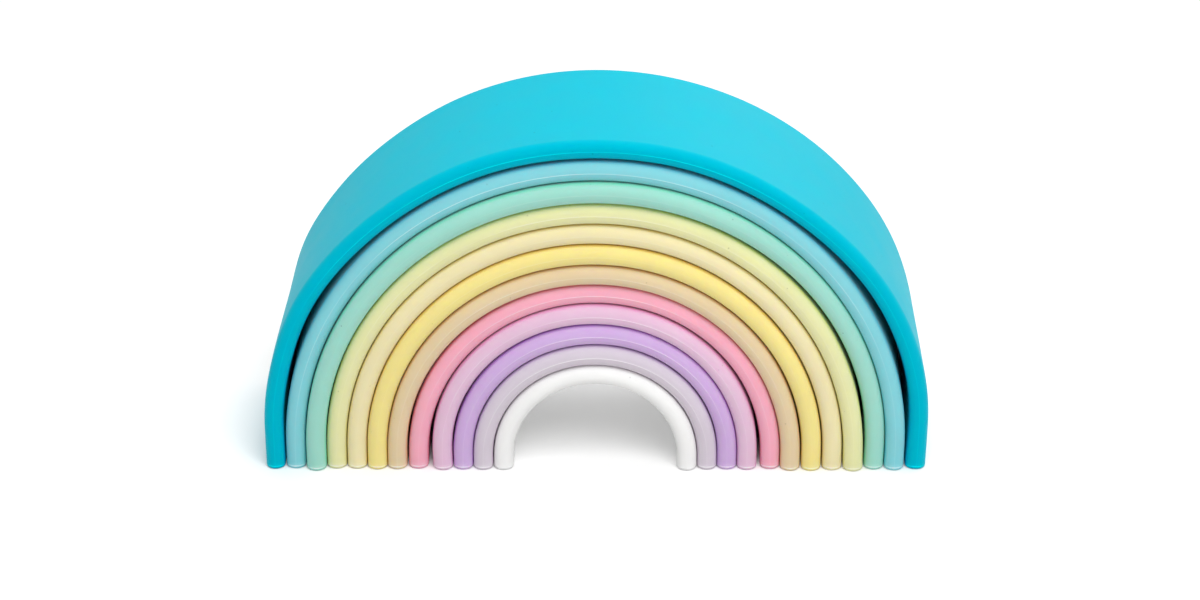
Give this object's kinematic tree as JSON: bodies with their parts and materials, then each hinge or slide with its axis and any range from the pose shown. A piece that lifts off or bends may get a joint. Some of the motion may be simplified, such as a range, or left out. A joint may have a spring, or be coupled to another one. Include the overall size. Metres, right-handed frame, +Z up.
{
  "type": "rainbow stacker",
  "caption": "Nest of loose pastel silicone arches, each drawn out of the one around it, standing on flat feet round a small tunnel.",
  "frame": {"origin": "centre of the nest's footprint, on the surface it stands on", "axes": "+X along the width, to the right seen from the front; +Y from the front edges to the back edges; +Z up"},
  "size_m": [0.2486, 0.0748, 0.1336],
  "materials": {
    "turquoise_silicone": "matte moulded silicone",
    "sky_silicone": "matte moulded silicone",
    "mint_silicone": "matte moulded silicone",
    "lime_silicone": "matte moulded silicone",
    "cream_silicone": "matte moulded silicone",
    "yellow_silicone": "matte moulded silicone",
    "sand_silicone": "matte moulded silicone",
    "pink_silicone": "matte moulded silicone",
    "mauve_silicone": "matte moulded silicone",
    "purple_silicone": "matte moulded silicone",
    "lilac_silicone": "matte moulded silicone",
    "white_silicone": "matte moulded silicone"
  },
  "bodies": {
    "turquoise_arch": {"turquoise_arch": "turquoise_silicone"},
    "sky_arch": {"sky_arch": "sky_silicone"},
    "mint_arch": {"mint_arch": "mint_silicone"},
    "lime_arch": {"lime_arch": "lime_silicone"},
    "cream_arch": {"cream_arch": "cream_silicone"},
    "yellow_arch": {"yellow_arch": "yellow_silicone"},
    "sand_arch": {"sand_arch": "sand_silicone"},
    "pink_arch": {"pink_arch": "pink_silicone"},
    "mauve_arch": {"mauve_arch": "mauve_silicone"},
    "purple_arch": {"purple_arch": "purple_silicone"},
    "lilac_arch": {"lilac_arch": "lilac_silicone"},
    "white_arch": {"white_arch": "white_silicone"}
  },
  "joints": [
    {"name": "sky_slide", "type": "slide", "parent": "turquoise_arch", "child": "sky_arch", "axis": [0, -1, 0], "range_m": [-0.08, 0.08]},
    {"name": "mint_slide", "type": "slide", "parent": "turquoise_arch", "child": "mint_arch", "axis": [0, -1, 0], "range_m": [-0.08, 0.08]},
    {"name": "lime_slide", "type": "slide", "parent": "turquoise_arch", "child": "lime_arch", "axis": [0, -1, 0], "range_m": [-0.08, 0.08]},
    {"name": "cream_slide", "type": "slide", "parent": "turquoise_arch", "child": "cream_arch", "axis": [0, -1, 0], "range_m": [-0.08, 0.08]},
    {"name": "yellow_slide", "type": "slide", "parent": "turquoise_arch", "child": "yellow_arch", "axis": [0, -1, 0], "range_m": [-0.08, 0.08]},
    {"name": "sand_slide", "type": "slide", "parent": "turquoise_arch", "child": "sand_arch", "axis": [0, -1, 0], "range_m": [-0.08, 0.08]},
    {"name": "pink_slide", "type": "slide", "parent": "turquoise_arch", "child": "pink_arch", "axis": [0, -1, 0], "range_m": [-0.08, 0.08]},
    {"name": "mauve_slide", "type": "slide", "parent": "turquoise_arch", "child": "mauve_arch", "axis": [0, -1, 0], "range_m": [-0.08, 0.08]},
    {"name": "purple_slide", "type": "slide", "parent": "turquoise_arch", "child": "purple_arch", "axis": [0, -1, 0], "range_m": [-0.08, 0.08]},
    {"name": "lilac_slide", "type": "slide", "parent": "turquoise_arch", "child": "lilac_arch", "axis": [0, -1, 0], "range_m": [-0.08, 0.08]},
    {"name": "white_slide", "type": "slide", "parent": "turquoise_arch", "child": "white_arch", "axis": [0, -1, 0], "range_m": [-0.08, 0.08]}
  ]
}
